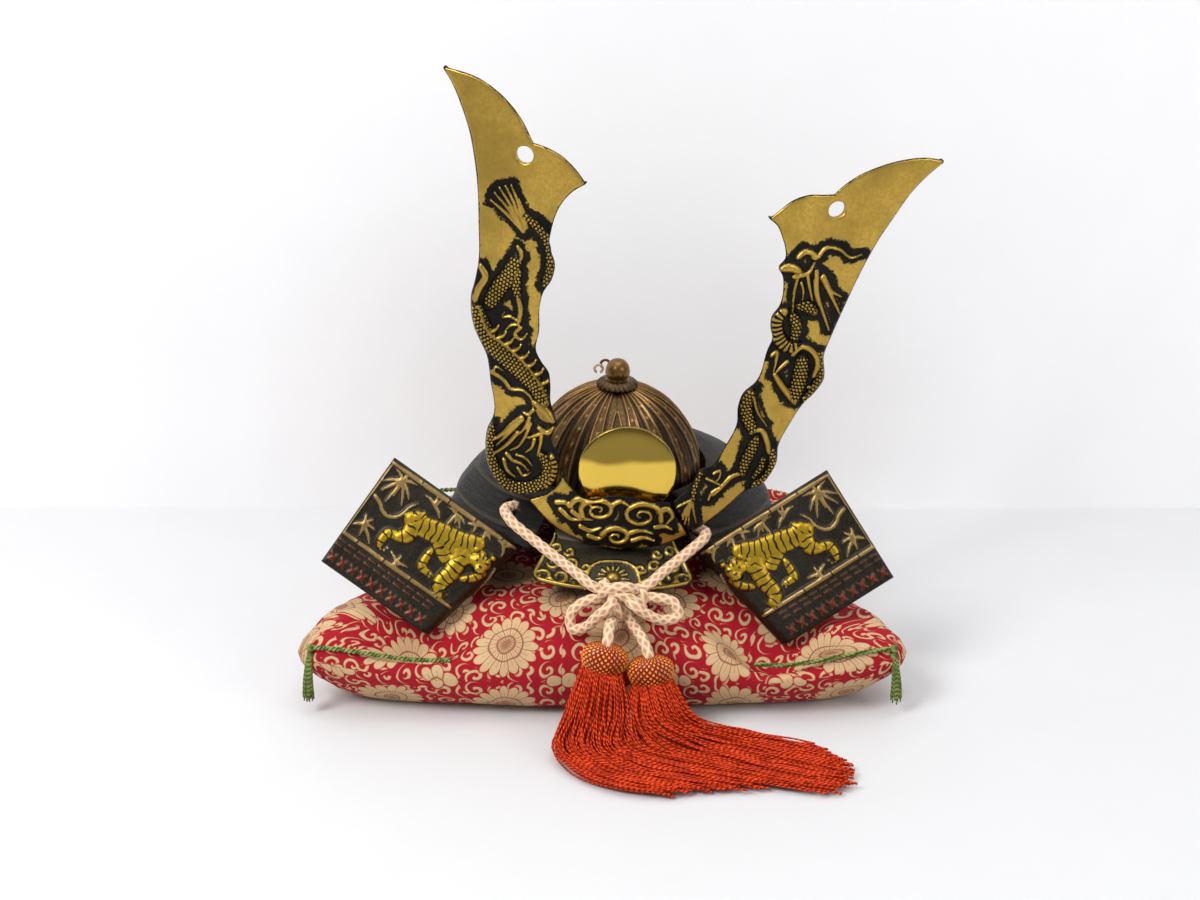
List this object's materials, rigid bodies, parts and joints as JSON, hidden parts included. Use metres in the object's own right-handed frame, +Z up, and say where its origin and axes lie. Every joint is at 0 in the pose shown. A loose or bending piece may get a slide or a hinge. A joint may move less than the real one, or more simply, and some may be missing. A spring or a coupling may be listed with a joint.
{
  "type": "kabuto samurai helmet ornament on a brocade cushion",
  "caption": "Cast samurai helmet with a tall dragon crest, turned-back tiger plates, flared neck guard and a tied chin cord with tassels, displayed on a square brocade cushion.",
  "frame": {"origin": "on the table plane at the middle of the cushion's flat underside, under the helmet bowl's axis", "axes": "+Z up, the helmet's front faces -Y, +X to the right when seen from the front"},
  "size_m": [0.2537, 0.2152, 0.2525],
  "materials": {
    "gold": "polished, with dark patina in the recesses",
    "bronze": "brown patina, rubbed bright on the raised work",
    "iron": "dark grey, fine combed texture",
    "brocade": "crimson brocade with pale gold figures",
    "peach_cord": "braided cord",
    "red_silk": "twisted silk strands",
    "green_silk": "twisted silk strands"
  },
  "bodies": {
    "root": {"bowl": "bronze", "finial": "bronze", "visor": "iron", "neck_guard": "iron", "turnback_left": "bronze", "turnback_right": "bronze", "crest_base": "gold", "crest_disc": "gold", "crest_horn_left": "gold", "crest_horn_right": "gold", "cushion": "brocade", "corner_tie_1": "green_silk", "corner_tie_2": "green_silk", "corner_tie_3": "green_silk", "corner_tie_4": "green_silk", "cord_left": "peach_cord", "cord_right": "peach_cord", "bow_loop_left": "peach_cord", "bow_loop_right": "peach_cord", "cord_tail_left": "peach_cord", "cord_tail_right": "peach_cord", "cord_back": "peach_cord", "bow_knot": "peach_cord", "tassel_left": "red_silk", "tassel_right": "red_silk"}
  },
  "joints": []
}
